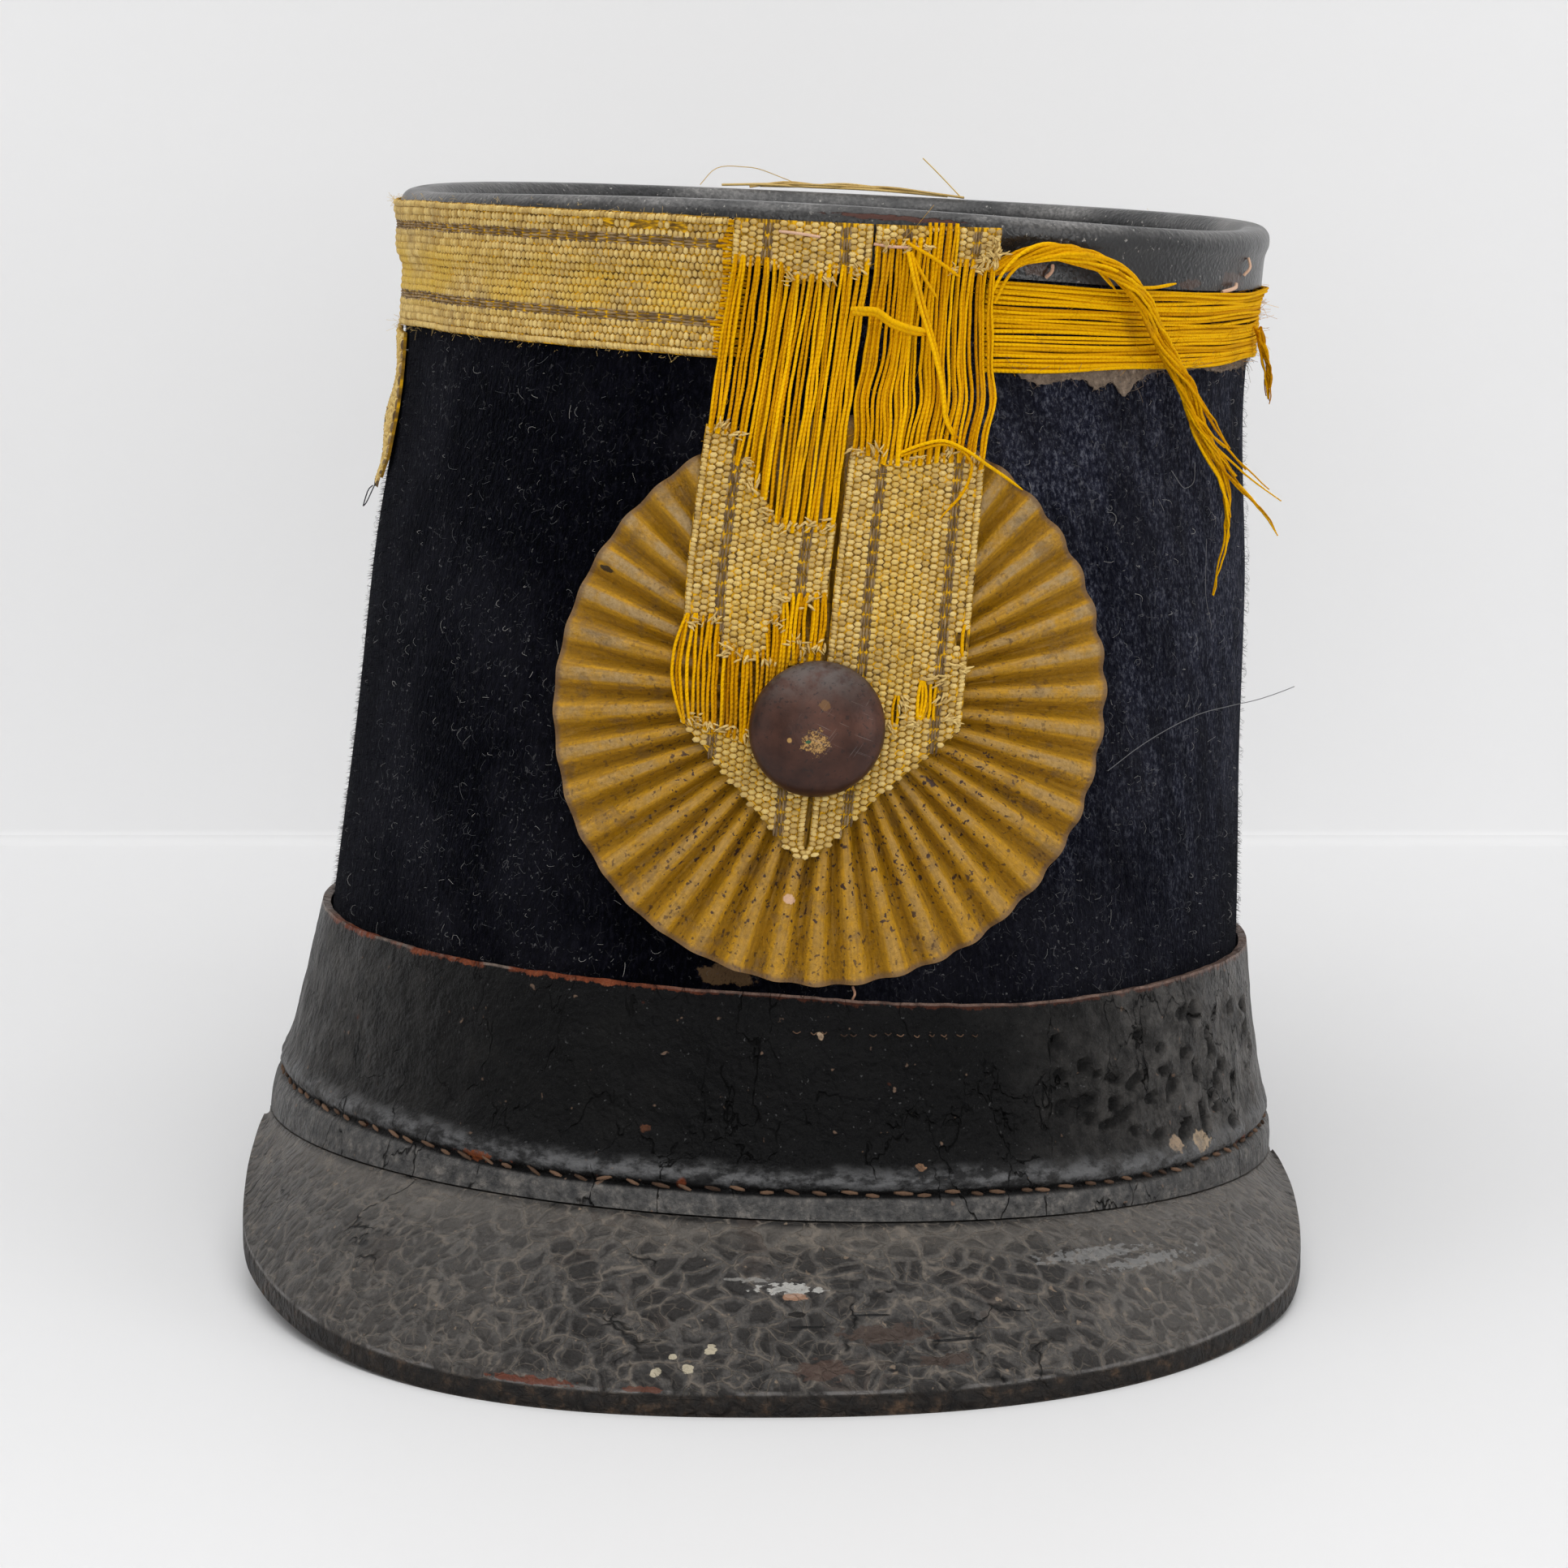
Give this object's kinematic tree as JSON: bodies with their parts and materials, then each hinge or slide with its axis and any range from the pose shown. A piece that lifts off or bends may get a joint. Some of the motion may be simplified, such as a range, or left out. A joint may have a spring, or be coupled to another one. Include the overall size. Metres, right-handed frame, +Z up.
{
  "type": "kepi",
  "caption": "Tall nineteenth-century military kepi: wool-covered tapered body, sunken leather crown, leather hem band and peak, worn yellow braid, pleated cockade and domed button.",
  "frame": {"origin": "middle of the space the kepi fills, on the surface it stands on", "axes": "+Z up, -Y to the front where the peak is, +X to the side that is on the right as seen from the front"},
  "size_m": [0.1788, 0.2236, 0.1839],
  "materials": {
    "navy_wool": "napped wool cloth, worn and linty",
    "crown_leather": "satin black, dusty",
    "band_leather": "dull black, pitted and cracked, red-brown where worn",
    "peak_leather": "dull grey-black, crackled",
    "woven_braid": "coarse woven straw-coloured braid with a grey-brown stripe near each edge",
    "yellow_warp": "loose yellow cotton yarn",
    "painted_tin": "old mustard paint, specked and worn",
    "copper": "brown patina, scratched"
  },
  "bodies": {
    "root": {"cloth_body": "navy_wool", "crown_top": "crown_leather", "leather_band": "band_leather", "peak": "peak_leather", "woven_braid": "woven_braid", "bare_warp": "yellow_warp", "front_loop": "woven_braid", "cockade": "painted_tin", "button": "copper", "yarn_bundle": "yellow_warp", "yarn_tuft": "yellow_warp", "braid_remnant": "woven_braid"}
  },
  "joints": []
}
